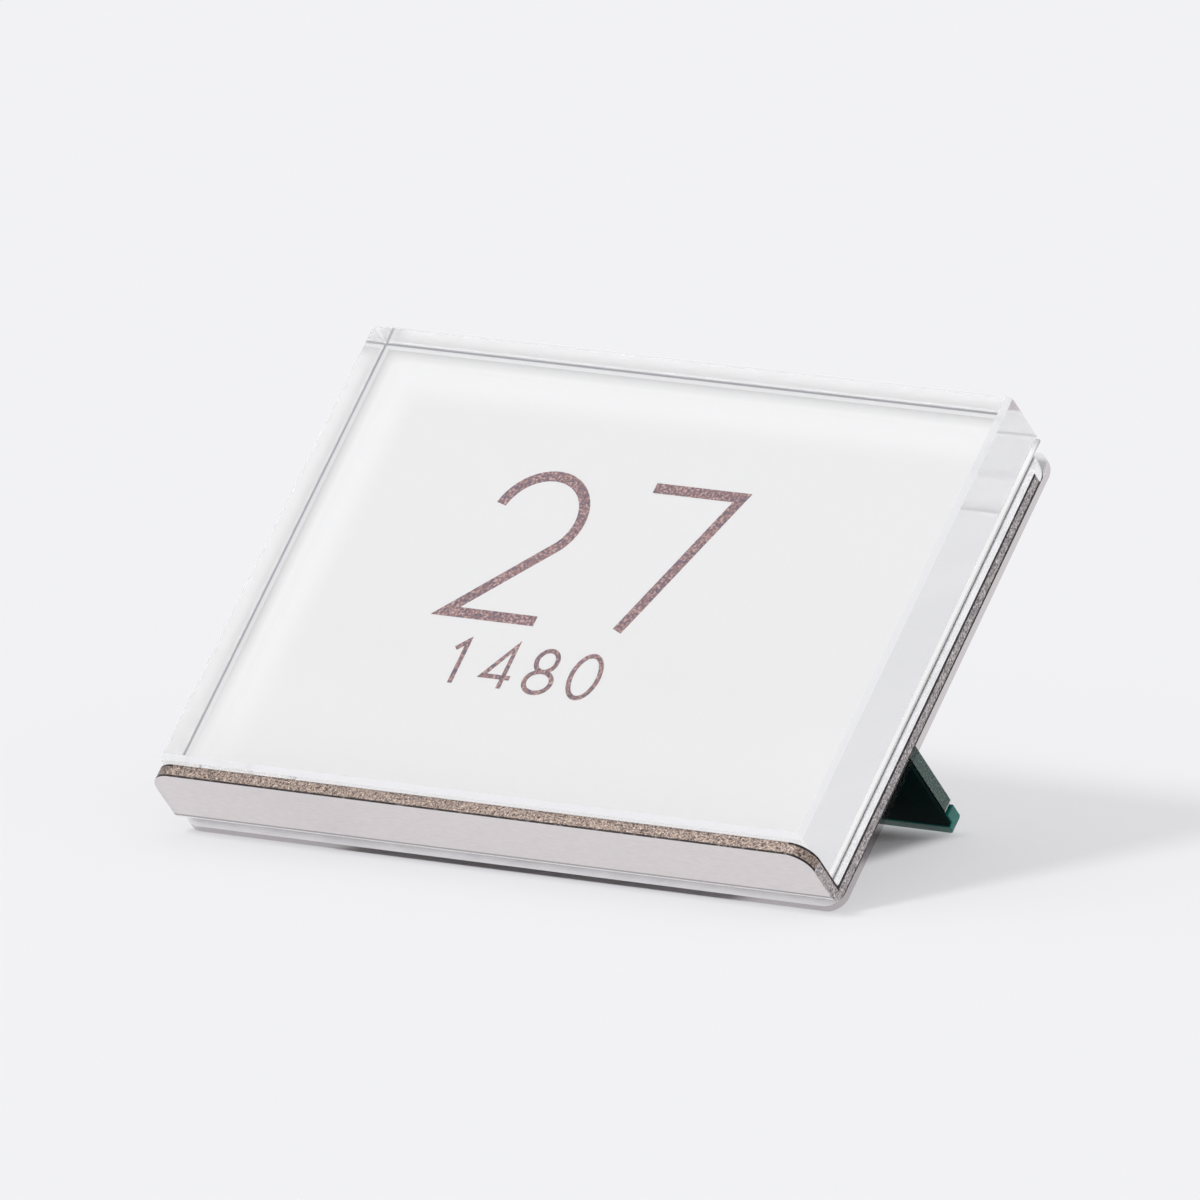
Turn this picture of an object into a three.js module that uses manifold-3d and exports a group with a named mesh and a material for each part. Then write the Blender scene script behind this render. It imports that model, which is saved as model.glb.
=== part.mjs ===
// A desk price tag stand, in millimetres, +Z up, front face towards -Y, standing on z = 0.
//
// One bent steel sheet carries everything: its front edge is folded forward into a lip, and a wide
// tab is cut out of its middle and folded backward as the leg. A printed card and a clear acrylic
// block stand on the lip and lean on the plate, one behind the other. A clear sheet covers the back
// of the plate, a dark pad covers the underside of the leg, and a green strip is its foot.
//
// Everything is drawn with the plate upright: X to the right, Y to the rear, Z up the plate, with
// y = 0 on the plate's front face and z = 0 on the lip's upper face. The whole stand is then leaned
// back until its lower rear edge and its foot are level.
import * as THREE from "three";
import { mergeVertices } from "three/addons/utils/BufferGeometryUtils.js";
import Module from "manifold-3d";

// Format of the card, which the block shares
const formatWidth = 52;
const formatHeight = 37;

// Clear acrylic block
const blockThickness = 5;
const blockBevel = 0.35;
const blockCornerCut = 0.3;

// Printed card behind the block
const cardThickness = 0.2;

// Steel sheet
const steelThickness = 1;
const steelSideMargin = 0.6; // steel that shows beside the block, each side
const steelTopSetback = 0.8; // block that stands above the steel
const lipSetback = 0.6; // block that stands in front of the lip
const bendRadius = 0.2; // inside radius of the lip's bend and of the leg's bend
const neutralShare = 0.44; // depth of the unstretched layer in the bent sheet
const lipCornerRadius = 1.7;
const plateCornerRadius = 1.8;

// Leg, cut out of the plate and bent back at a right angle
const legWidth = 36;
const legTop = 19.8; // height of the leg's upper face above the lip
const cutWidth = 0.3; // width of the cut around the tab
const sillHeight = 0.23; // flat steel left between the lip's bend and the window
const legCornerRadius = 0.5;
const reliefHeight = 0.4; // how far the side cuts run past the start of the bend

// Clear sheet on the back
const guardThickness = 0.6;
const guardCornerRadius = 1.3; // rounding of its two lower corners
const guardWindowMargin = 0.4; // clear sheet kept away from the leg and from the window's sides

// Pad under the leg and strip at its end
const padThickness = 0.3;
const padStart = 0.5; // free length between the rear sheet and the pad
const footLength = 1.54;
const footLap = 0.7; // length of the strip that lies over the pad's end
const footBevel = 0.3;

// Clearance between two pieces that lie on each other
const clearance = 0.1;

// Derived sizes
const steelWidth = formatWidth + 2 * steelSideMargin;
const blockBack = -(2 * clearance + cardThickness);
const blockFront = blockBack - blockThickness;
const blockTop = clearance + formatHeight;
const plateTop = blockTop - steelTopSetback;
const lipFront = blockFront + lipSetback;
const lipUnder = -steelThickness;
const outerRadius = bendRadius + steelThickness;
const legUnder = legTop - steelThickness;
const bendStart = legTop + bendRadius;
const windowBottom = bendRadius + sillHeight;
const windowTop = bendStart + reliefHeight;
const windowWidth = legWidth + 2 * cutWidth;
const bentLength = (Math.PI / 2) * (bendRadius + neutralShare * steelThickness);
const tabLength = bendStart - windowBottom - cutWidth;
const legEnd = outerRadius + tabLength - bentLength;
const guardFront = steelThickness + clearance;
const guardBack = guardFront + guardThickness;
const padUnder = legUnder - clearance - padThickness;
const footStart = legEnd + clearance;
const footEnd = footStart + footLength;
const padEnd = footStart + footLap;
// The stand leans until the rear sheet's lower edge and the foot's lower edge are level.
const lean = Math.atan2(padUnder - lipUnder, footEnd - guardBack);

const wasm = await Module();
wasm.setup();

// A closed geometry as a solid for cutting and joining.
function solid(geometry) {
  const plain = geometry.clone();
  plain.deleteAttribute("normal");
  plain.deleteAttribute("uv");
  const merged = mergeVertices(plain, 1e-5);
  return new wasm.Manifold(
    new wasm.Mesh({
      numProp: 3,
      vertProperties: new Float32Array(merged.attributes.position.array),
      triVerts: new Uint32Array(merged.index.array),
    }),
  );
}

// The geometry of a solid.
function geometryOf(body) {
  const data = body.getMesh();
  const geometry = new THREE.BufferGeometry();
  geometry.setAttribute("position", new THREE.BufferAttribute(new Float32Array(data.vertProperties), 3));
  geometry.setIndex(new THREE.BufferAttribute(new Uint32Array(data.triVerts), 1));
  geometry.computeVertexNormals();
  return geometry;
}

// A box between two corners.
function box(x0, y0, z0, x1, y1, z1) {
  const geometry = new THREE.BoxGeometry(x1 - x0, y1 - y0, z1 - z0);
  geometry.translate((x0 + x1) / 2, (y0 + y1) / 2, (z0 + z1) / 2);
  return geometry;
}

// A rectangle from (a0, b0) to (a1, b1). Radii run lower left, lower right, upper right, upper left.
function roundedRectangle(a0, b0, a1, b1, [r0, r1, r2, r3]) {
  const shape = new THREE.Shape();
  shape.moveTo(a0 + r0, b0);
  shape.lineTo(a1 - r1, b0);
  if (r1 > 0) shape.absarc(a1 - r1, b0 + r1, r1, -Math.PI / 2, 0, false);
  shape.lineTo(a1, b1 - r2);
  if (r2 > 0) shape.absarc(a1 - r2, b1 - r2, r2, 0, Math.PI / 2, false);
  shape.lineTo(a0 + r3, b1);
  if (r3 > 0) shape.absarc(a0 + r3, b1 - r3, r3, Math.PI / 2, Math.PI, false);
  shape.lineTo(a0, b0 + r0);
  if (r0 > 0) shape.absarc(a0 + r0, b0 + r0, r0, Math.PI, Math.PI * 1.5, false);
  shape.closePath();
  return shape;
}

// A section drawn in (Y, Z), drawn out along X to a width, centred.
function alongX(shape, width, curveSegments = 8) {
  const geometry = new THREE.ExtrudeGeometry(shape, { depth: width, bevelEnabled: false, curveSegments });
  geometry.translate(0, 0, -width / 2);
  const turn = new THREE.Matrix4().makeBasis(
    new THREE.Vector3(0, 1, 0),
    new THREE.Vector3(0, 0, 1),
    new THREE.Vector3(1, 0, 0),
  );
  return geometry.applyMatrix4(turn);
}

// An outline drawn in (X, Z), drawn out along Y from y0 to y1.
function alongY(shape, y0, y1, curveSegments = 8) {
  const geometry = new THREE.ExtrudeGeometry(shape, { depth: y1 - y0, bevelEnabled: false, curveSegments });
  geometry.rotateX(Math.PI / 2);
  geometry.translate(0, y1, 0);
  return geometry;
}

// An outline drawn in (X, Y), drawn out along Z from z0 to z1.
function alongZ(shape, z0, z1, curveSegments = 8) {
  const geometry = new THREE.ExtrudeGeometry(shape, { depth: z1 - z0, bevelEnabled: false, curveSegments });
  geometry.translate(0, 0, z0);
  return geometry;
}

// Section of lip and plate: one sheet with a right-angle bend.
function plateSection() {
  const shape = new THREE.Shape();
  shape.moveTo(lipFront, lipUnder);
  shape.lineTo(steelThickness - outerRadius, lipUnder);
  shape.absarc(steelThickness - outerRadius, lipUnder + outerRadius, outerRadius, -Math.PI / 2, 0, false);
  shape.lineTo(steelThickness, plateTop);
  shape.lineTo(0, plateTop);
  shape.lineTo(0, bendRadius);
  shape.absarc(-bendRadius, bendRadius, bendRadius, 0, -Math.PI / 2, true);
  shape.lineTo(lipFront, 0);
  shape.closePath();
  return shape;
}

// Section of the leg: it leaves the plate above the window and turns to the rear.
function legSection() {
  const root = windowTop + steelThickness;
  const shape = new THREE.Shape();
  shape.moveTo(0, root);
  shape.lineTo(0, bendStart);
  shape.absarc(outerRadius, bendStart, outerRadius, Math.PI, Math.PI * 1.5, false);
  shape.lineTo(legEnd, legUnder);
  shape.lineTo(legEnd, legTop);
  shape.lineTo(outerRadius, legTop);
  shape.absarc(outerRadius, bendStart, bendRadius, Math.PI * 1.5, Math.PI, true);
  shape.lineTo(steelThickness, root);
  shape.closePath();
  return shape;
}

// The bent steel sheet.
function steelHolder() {
  const half = steelWidth / 2;
  const reach = legEnd + footLength;
  const corners = [0, 0, plateCornerRadius, plateCornerRadius];
  const lipCorners = [lipCornerRadius, lipCornerRadius, 0, 0];
  const fromFront = roundedRectangle(-half, lipUnder - outerRadius, half, plateTop, corners);
  const fromAbove = roundedRectangle(-half, lipFront, half, reach, lipCorners);
  const window = box(
    -windowWidth / 2,
    -outerRadius,
    windowBottom,
    windowWidth / 2,
    steelThickness + outerRadius,
    windowTop,
  );
  const legOutline = roundedRectangle(-legWidth / 2, -outerRadius, legWidth / 2, legEnd, [
    0,
    0,
    legCornerRadius,
    legCornerRadius,
  ]);
  const leg = solid(alongX(legSection(), legWidth, 8)).intersect(
    solid(alongZ(legOutline, lipUnder, plateTop)),
  );
  return solid(alongX(plateSection(), steelWidth, 8))
    .intersect(solid(alongY(fromFront, lipFront - outerRadius, reach)))
    .intersect(solid(alongZ(fromAbove, lipUnder - outerRadius, plateTop + outerRadius)))
    .subtract(solid(window))
    .add(leg);
}

// The clear sheet on the back, with a window that clears the leg and its bend.
function rearGuard() {
  const half = steelWidth / 2;
  const outline = roundedRectangle(-half, lipUnder, half, blockTop, [
    guardCornerRadius,
    guardCornerRadius,
    plateCornerRadius,
    plateCornerRadius,
  ]);
  const window = box(
    -windowWidth / 2 - guardWindowMargin,
    guardFront - guardThickness,
    windowBottom,
    windowWidth / 2 + guardWindowMargin,
    guardBack + guardThickness,
    bendStart + guardWindowMargin,
  );
  return solid(alongY(outline, guardFront, guardBack)).subtract(solid(window));
}

// The acrylic block: all its front and rear edges are bevelled and its corners slightly cut.
function acrylicBlock() {
  const halfWidth = formatWidth / 2 - blockBevel;
  const halfHeight = formatHeight / 2 - blockBevel;
  const cut = blockCornerCut;
  const outline = new THREE.Shape();
  outline.moveTo(-halfWidth + cut, -halfHeight);
  outline.lineTo(halfWidth - cut, -halfHeight);
  outline.lineTo(halfWidth, -halfHeight + cut);
  outline.lineTo(halfWidth, halfHeight - cut);
  outline.lineTo(halfWidth - cut, halfHeight);
  outline.lineTo(-halfWidth + cut, halfHeight);
  outline.lineTo(-halfWidth, halfHeight - cut);
  outline.lineTo(-halfWidth, -halfHeight + cut);
  outline.closePath();
  const geometry = new THREE.ExtrudeGeometry(outline, {
    depth: blockThickness - 2 * blockBevel,
    bevelEnabled: true,
    bevelSegments: 1,
    bevelThickness: blockBevel,
    bevelSize: blockBevel,
    steps: 1,
  });
  geometry.translate(0, 0, -blockThickness / 2 + blockBevel);
  geometry.rotateX(Math.PI / 2);
  geometry.deleteAttribute("uv");
  return geometry;
}

// The strip at the end of the leg: it laps over the pad's end, and its free edges are bevelled.
function footCap() {
  const step = padThickness + clearance;
  const shape = new THREE.Shape();
  shape.moveTo(footLap + clearance, 0);
  shape.lineTo(footLength, 0);
  shape.lineTo(footLength, legTop - padUnder - footBevel);
  shape.lineTo(footLength - footBevel, legTop - padUnder);
  shape.lineTo(0, legTop - padUnder);
  shape.lineTo(0, step);
  shape.lineTo(footLap + clearance, step);
  shape.closePath();
  const outline = roundedRectangle(-legWidth / 2, -footLength, legWidth / 2, footLength, [
    0,
    0,
    footBevel,
    footBevel,
  ]);
  return solid(alongX(shape, legWidth)).intersect(
    solid(alongZ(outline, -footLength, legTop - padUnder + footLength, 2)),
  );
}

// A named piece with its own material, placed in its group.
function piece(name, geometry, material, x, y, z) {
  const mesh = new THREE.Mesh(geometry, new THREE.MeshStandardMaterial(material));
  mesh.name = name;
  mesh.position.set(x, y, z);
  return mesh;
}

const clearAcrylic = { color: 0xe9edf2, roughness: 0.05, metalness: 0, transparent: true, opacity: 0.35 };
const paper = { color: 0xefe9e6, roughness: 0.7, metalness: 0 };
const steel = { color: 0xa9a39e, roughness: 0.45, metalness: 1 };
const clearSheet = { color: 0xd9cfcc, roughness: 0.1, metalness: 0, transparent: true, opacity: 0.4 };
const darkGreen = { color: 0x05140f, roughness: 0.35, metalness: 0 };
const teal = { color: 0x0a5a4e, roughness: 0.15, metalness: 0, transparent: true, opacity: 0.8 };

const leaning = new THREE.Group();
leaning.rotation.x = -lean;
leaning.add(
  piece("steel_holder", geometryOf(steelHolder()), steel, 0, 0, 0),
  piece("rear_guard", geometryOf(rearGuard()), clearSheet, 0, 0, 0),
  piece(
    "price_card",
    box(-formatWidth / 2, 0, 0, formatWidth / 2, cardThickness, formatHeight),
    paper,
    0,
    -clearance - cardThickness,
    clearance,
  ),
  piece(
    "acrylic_block",
    acrylicBlock(),
    clearAcrylic,
    0,
    (blockFront + blockBack) / 2,
    clearance + formatHeight / 2,
  ),
  piece(
    "leg_pad",
    box(-legWidth / 2, guardBack + padStart, 0, legWidth / 2, padEnd, padThickness),
    darkGreen,
    0,
    0,
    padUnder,
  ),
  piece("foot_cap", geometryOf(footCap()), teal, 0, footStart, padUnder),
);

// The stand rests on its rear lower edge and its foot, with the middle of its outline over the origin.
const stand = new THREE.Group();
stand.add(leaning);
stand.updateMatrixWorld(true);
const extent = new THREE.Box3().setFromObject(stand, true);
leaning.position.set(0, -(extent.min.y + extent.max.y) / 2, -extent.min.z);

export default stand;
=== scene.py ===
"""Dresses the price tag stand: a clear acrylic block and a printed card on a bent steel sheet."""

import logging
import math
from dataclasses import dataclass
from enum import Enum, IntEnum
from typing import NamedTuple

import bmesh
import bpy
import numpy as np
from mathutils import Matrix, Vector

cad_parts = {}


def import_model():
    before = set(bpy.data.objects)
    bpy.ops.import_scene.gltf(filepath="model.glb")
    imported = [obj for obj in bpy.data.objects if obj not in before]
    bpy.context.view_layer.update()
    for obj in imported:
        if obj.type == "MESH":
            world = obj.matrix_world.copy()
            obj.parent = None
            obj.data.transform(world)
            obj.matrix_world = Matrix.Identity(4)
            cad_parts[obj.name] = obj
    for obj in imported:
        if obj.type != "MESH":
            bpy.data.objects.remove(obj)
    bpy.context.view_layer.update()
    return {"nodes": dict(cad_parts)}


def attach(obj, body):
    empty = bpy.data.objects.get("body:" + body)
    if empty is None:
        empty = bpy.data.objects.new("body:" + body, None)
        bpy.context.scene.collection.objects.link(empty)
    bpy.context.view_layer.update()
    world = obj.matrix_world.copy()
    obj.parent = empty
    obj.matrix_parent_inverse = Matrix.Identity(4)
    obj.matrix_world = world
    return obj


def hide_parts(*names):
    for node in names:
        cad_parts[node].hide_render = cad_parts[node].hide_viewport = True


Triple = tuple[float, float, float]
Span = tuple[float, float]
Faces = list[tuple[int, ...]]

MM = 0.001
MERGE_M = 2e-7
CUT_M = 1e-7
FLAT_DEG = 0.4
SHARP_DEG = 35.0
EDGE_STEPS = 2
SMALLEST_CORNER = 0.02
DEG_PER_POINT = 7
FINE_RELIEF_M = 0.00001
COARSE_RELIEF_M = 0.00004
EVEN = (1.0, 1.0, 1.0)
SEEN_BY = ("Camera", "Glossy", "Transmission")
LOG = logging.getLogger("price_tag_stand")


@dataclass(frozen=True)
class LeaningFrame:
    """The upright drawing frame of the stand, leaned back onto the floor.

    x runs to the right, m to the rear through the sheet, and u up the plate, all in millimetres.
    """

    lean_deg: float = 44.993075
    origin_y: float = -12.305223
    origin_z: float = 1.909128

    def slopes(self) -> Span:
        """Sine and cosine of the lean."""
        lean = math.radians(self.lean_deg)
        return math.sin(lean), math.cos(lean)

    def upright(self, vectors: np.ndarray) -> np.ndarray:
        """Turns directions, or offsets from the drawing's origin, back into the drawing frame.

        Args:
            vectors: array (n, 3) in the stand's own frame.

        Returns:
            Array (n, 3) of x, m, u: m = y cos - z sin, u = y sin + z cos.
        """
        sine, cosine = self.slopes()
        x, y, z = vectors.T
        return np.stack([x, y * cosine - z * sine, y * sine + z * cosine], -1)

    def place(self, points: np.ndarray) -> np.ndarray:
        """Turns drawn points into the stand's own frame.

        Args:
            points: array (..., 3) of x, m, u in millimetres.

        Returns:
            Array of the same shape in metres: y = m cos + u sin, z = u cos - m sin, then shifted.
        """
        sine, cosine = self.slopes()
        x, m, u = points[..., 0], points[..., 1], points[..., 2]
        y = m * cosine + u * sine + self.origin_y
        z = u * cosine - m * sine + self.origin_z
        return np.stack([x, y, z], axis=-1) * MM


class Body(str, Enum):
    """The rigid bodies that pieces ride on."""

    HOLDER = "holder"
    BLOCK = "block"
    CARD = "card"


# --------------------------------------------------------------------------- finishes


class NodeGraph:
    """A short way to write a material's nodes."""

    def __init__(self, name: str) -> None:
        """Makes an empty material with one Principled shader wired to its output.

        Args:
            name: the material's name.
        """
        self.material = bpy.data.materials.new(name)
        self.material.use_nodes = True
        self.tree = self.material.node_tree
        self.tree.nodes.clear()
        self.output = self.tree.nodes.new("ShaderNodeOutputMaterial")
        self.shader = self.tree.nodes.new("ShaderNodeBsdfPrincipled")
        self.tree.links.new(self.shader.outputs[0], self.output.inputs[0])

    def node(self, kind: str, **values: object) -> bpy.types.Node:
        """Adds a node and sets its properties.

        Args:
            kind: Blender's name of the node type.
            **values: properties of the node.

        Returns:
            The new node.
        """
        made = self.tree.nodes.new(kind)
        for key, value in values.items():
            setattr(made, key, value)
        return made

    def link(self, source: object, target: object) -> None:
        """Wires one socket to another."""
        self.tree.links.new(source, target)

    def set(self, **sockets: object) -> None:
        """Sets sockets of the shader by name, with _ for a space."""
        for key, value in sockets.items():
            self.shader.inputs[key.replace("_", " ")].default_value = value

    def coordinates(self, scale: Triple) -> object:
        """Object coordinates in metres, stretched by a factor on each axis.

        Args:
            scale: factors on X, Y and Z.

        Returns:
            The vector socket.
        """
        where = self.node("ShaderNodeTexCoord")
        stretch = self.node("ShaderNodeMapping")
        stretch.inputs["Scale"].default_value = scale
        self.link(where.outputs["Object"], stretch.inputs["Vector"])
        return stretch.outputs["Vector"]

    def noise(self, vector: object, scale: float, detail: float, rough: float) -> object:
        """Fractal noise.

        Args:
            vector: the coordinates socket.
            scale: cells per metre, as the coordinates are in metres.
            detail: octaves.
            rough: weight of the finer octaves.

        Returns:
            The factor socket.
        """
        made = self.node("ShaderNodeTexNoise")
        made.inputs["Scale"].default_value = scale
        made.inputs["Detail"].default_value = detail
        made.inputs["Roughness"].default_value = rough
        self.link(vector, made.inputs["Vector"])
        return made.outputs["Fac"]

    def ramp(self, factor: object, stops: list[tuple[float, tuple[float, ...]]]) -> object:
        """A colour ramp.

        Args:
            factor: the socket that drives it.
            stops: positions with linear colours.

        Returns:
            The colour socket.
        """
        made = self.node("ShaderNodeValToRGB")
        elements = made.color_ramp.elements
        while len(elements) < len(stops):
            elements.new(0.5)
        for element, (position, colour) in zip(elements, stops):
            element.position = position
            element.color = (*colour[:3], 1.0)
        self.link(factor, made.inputs["Fac"])
        return made.outputs["Color"]

    def calculate(self, operation: str, one: object, two: object, third: float = 0.0) -> object:
        """One step of arithmetic.

        Args:
            operation: Blender's name of the operation.
            one: first number or socket.
            two: second number or socket.
            third: third number, where the operation has one.

        Returns:
            The result's socket.
        """
        made = self.node("ShaderNodeMath", operation=operation)
        made.inputs[2].default_value = third
        for place, value in enumerate((one, two)):
            if isinstance(value, float):
                made.inputs[place].default_value = value
            else:
                self.link(value, made.inputs[place])
        return made.outputs[0]

    def along(self, vector: object, direction: Triple, start: float) -> object:
        """Distance along a direction: its product with the coordinates, plus a start.

        Args:
            vector: the coordinates socket, in metres.
            direction: a unit direction.
            start: the distance at the origin, in millimetres.

        Returns:
            The distance's socket, in millimetres.
        """
        made = self.node("ShaderNodeVectorMath", operation="DOT_PRODUCT")
        self.link(vector, made.inputs[0])
        made.inputs[1].default_value = tuple(c / MM for c in direction)
        return self.calculate("ADD", made.outputs["Value"], start)

    def rise(self, value: object, start: float, stop: float) -> object:
        """A smooth step from 0 at the start to 1 at the stop.

        Args:
            value: the number's socket.
            start: value where the step begins.
            stop: value where it ends.

        Returns:
            The step's socket.
        """
        made = self.node("ShaderNodeMapRange", interpolation_type="SMOOTHSTEP")
        made.inputs["From Min"].default_value = start
        made.inputs["From Max"].default_value = stop
        self.link(value, made.inputs["Value"])
        return made.outputs["Result"]

    def mix(self, factor: object, one: object, colour: Triple, most: float) -> object:
        """Blends a colour over another by a factor.

        Args:
            factor: the factor's socket.
            one: the colour socket that lies under it.
            colour: the colour laid over it.
            most: the blend at factor 1.

        Returns:
            The blended colour's socket.
        """
        made = self.node("ShaderNodeMix", data_type="RGBA")
        scaled = self.calculate("MULTIPLY", factor, most)
        self.link(scaled, made.inputs[0])
        self.link(one, made.inputs[6])
        made.inputs[7].default_value = (*colour, 1.0)
        return made.outputs[2]

    def mix_into_output(self, share: object, other: object) -> None:
        """Mixes another shader over the Principled one, in front of the output.

        Args:
            share: the other shader's share, a number or a socket.
            other: the other shader's socket.
        """
        mix = self.node("ShaderNodeMixShader")
        if isinstance(share, float):
            mix.inputs[0].default_value = share
        else:
            self.link(share, mix.inputs[0])
        self.link(self.shader.outputs[0], mix.inputs[1])
        self.link(other, mix.inputs[2])
        self.link(mix.outputs[0], self.output.inputs[0])

    def largest(self, sources: list[object]) -> object:
        """The largest of several numbers.

        Args:
            sources: the sockets.

        Returns:
            The socket with the largest value.
        """
        result = sources[0]
        for source in sources[1:]:
            made = self.node("ShaderNodeMath", operation="MAXIMUM")
            self.link(result, made.inputs[0])
            self.link(source, made.inputs[1])
            result = made.outputs[0]
        return result

    def paint(self, factor: object, stops: list[tuple[float, tuple[float, ...]]]) -> None:
        """Colours the shader by a ramp.

        Args:
            factor: the socket that drives the ramp.
            stops: positions with linear colours.
        """
        self.link(self.ramp(factor, stops), self.shader.inputs["Base Color"])

    def bump(self, height: object, strength: float, distance: float) -> None:
        """Feeds a height into the shader's normal.

        Args:
            height: the height socket.
            strength: share of the effect.
            distance: height of the relief in metres.
        """
        made = self.node("ShaderNodeBump")
        made.inputs["Strength"].default_value = strength
        made.inputs["Distance"].default_value = distance
        self.link(height, made.inputs["Height"])
        self.link(made.outputs["Normal"], self.shader.inputs["Normal"])


@dataclass(frozen=True)
class ClearPlastic:
    """A thick transparent plastic that bends what is seen through it and lets the lamps through.

    Some faces are less clear, with a dull share tinted face by face as painted light and shade,
    and may show faint bands of the saw.
    """

    name: str
    tint: Triple
    ior: float = 1.49
    roughness: float = 0.0
    inner_mirrors: float = 2.5
    bands: float = 0.0
    clear: float = 1.0
    bands_per_m: float = 420.0

    def build(self) -> bpy.types.Material:
        """Makes the material.

        Lamp rays, diffuse rays and light that was mirrored inside often pass straight on.
        """
        graph = NodeGraph(self.name)
        graph.set(
            Base_Color=(*self.tint, 1.0),
            Roughness=self.roughness,
            IOR=self.ior,
            Transmission_Weight=self.clear,
        )
        if self.bands:
            layers = graph.noise(graph.coordinates((0.02, 0.02, 1.0)), self.bands_per_m, 1.0, 0.4)
            pale = tuple(c * (1 + self.bands) for c in self.tint)
            dim = tuple(c * (1 - self.bands) for c in self.tint)
            graph.paint(layers, [(0.35, dim), (0.65, pale)])
        path = graph.node("ShaderNodeLightPath")
        often = graph.node("ShaderNodeMath", operation="GREATER_THAN")
        often.inputs[1].default_value = self.inner_mirrors
        graph.link(path.outputs["Glossy Depth"], often.inputs[0])
        passing = [path.outputs["Is Shadow Ray"], path.outputs["Is Diffuse Ray"], often.outputs[0]]
        straight = graph.node("ShaderNodeBsdfTransparent")
        graph.mix_into_output(graph.largest(passing), straight.outputs[0])
        return graph.material


@dataclass(frozen=True)
class ThinClearSheet:
    """A thin clear sheet: what lies behind shows unbent and a little dimmer, under a gloss."""

    name: str = "thin_clear_sheet"
    passed: Triple = (0.875, 0.85, 0.855)
    gloss: float = 0.05
    ior: float = 1.49
    open_share: float = 0.93

    def build(self) -> bpy.types.Material:
        """Makes the material."""
        graph = NodeGraph(self.name)
        graph.set(Base_Color=(0.02, 0.02, 0.02, 1.0), Roughness=self.gloss, IOR=self.ior)
        straight = graph.node("ShaderNodeBsdfTransparent")
        straight.inputs["Color"].default_value = (*self.passed, 1.0)
        graph.mix_into_output(self.open_share, straight.outputs[0])
        return graph.material


@dataclass(frozen=True)
class PaintedSheenFilm:
    """A pale satin metal coat on the clear sheet's front face, as a painted highlight for the
    light strip under the lip.
    """

    name: str = "painted_sheen_film"

    def build(self) -> bpy.types.Material:
        """Makes the material."""
        graph = NodeGraph(self.name)
        graph.set(Roughness=0.28, Metallic=1.0)
        cloud = graph.noise(graph.coordinates(EVEN), 700.0, 3.0, 0.5)
        stops = [(0.3, (0.88, 0.865, 0.87)), (0.7, (0.94, 0.925, 0.93))]
        graph.paint(cloud, stops)
        graph.bump(cloud, 0.2, FINE_RELIEF_M)
        return graph.material


@dataclass(frozen=True)
class SteelFace:
    """The dull mill finish of the sheet's faces: long faint grain and a soft mottle."""

    name: str = "steel_face"
    tint: Triple = (0.78, 0.735, 0.735)
    roughness: float = 0.34
    relief: float = 0.25
    spread: Span = (-0.06, 0.10)

    def build(self) -> bpy.types.Material:
        """Makes the material."""
        graph = NodeGraph(self.name)
        graph.set(Metallic=1.0)
        along = graph.noise(graph.coordinates((1.0, 3.0, 3.0)), 1500.0, 4.0, 0.6)
        low, high = (tuple(c * k for c in self.tint) for k in (0.95, 1.05))
        graph.paint(along, [(0.25, low), (0.75, high)])
        mottle = graph.noise(graph.coordinates(EVEN), 900.0, 5.0, 0.65)
        spread = graph.node("ShaderNodeMapRange")
        spread.inputs["To Min"].default_value = self.roughness + self.spread[0]
        spread.inputs["To Max"].default_value = self.roughness + self.spread[1]
        graph.link(mottle, spread.inputs["Value"])
        graph.link(spread.outputs["Result"], graph.shader.inputs["Roughness"])
        graph.bump(mottle, self.relief, FINE_RELIEF_M)
        return graph.material


@dataclass(frozen=True)
class SteelCutEdge:
    """The cut edges of the sheet: coarse bright and brown grains with tiny glints."""

    name: str = "steel_cut_edge"
    tint: Triple = (1.0, 1.0, 1.0)
    grain_per_m: float = 7500.0

    def build(self) -> bpy.types.Material:
        """Makes the material."""
        graph = NodeGraph(self.name)
        graph.set(Metallic=1.0, Roughness=0.36)
        where = graph.coordinates(EVEN)
        grain = graph.noise(where, self.grain_per_m, 2.0, 0.7)
        stops = [
            (0.34, (0.07, 0.055, 0.055)),
            (0.44, (0.30, 0.26, 0.255)),
            (0.52, (0.45, 0.43, 0.43)),
            (0.60, (0.60, 0.51, 0.45)),
            (0.70, (0.98, 0.96, 0.95)),
        ]
        stops = [
            (place, tuple(c * k for c, k in zip(colour, self.tint))) for place, colour in stops
        ]
        graph.paint(grain, stops)
        graph.bump(grain, 0.9, COARSE_RELIEF_M)
        return graph.material


@dataclass(frozen=True)
class PaintedDarkEdge:
    """A painted dark line along the sheet's edges, standing for dark reflection and shade there:
    brown-black with bright specks.
    """

    name: str = "painted_dark_edge"

    def build(self) -> bpy.types.Material:
        """Makes the material."""
        graph = NodeGraph(self.name)
        graph.set(Metallic=0.6, Roughness=0.45)
        grain = graph.noise(graph.coordinates(EVEN), 2600.0, 3.0, 0.6)
        stops = [
            (0.35, (0.010, 0.008, 0.008)),
            (0.58, (0.030, 0.024, 0.023)),
            (0.72, (0.20, 0.17, 0.16)),
        ]
        graph.paint(grain, stops)
        return graph.material


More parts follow.
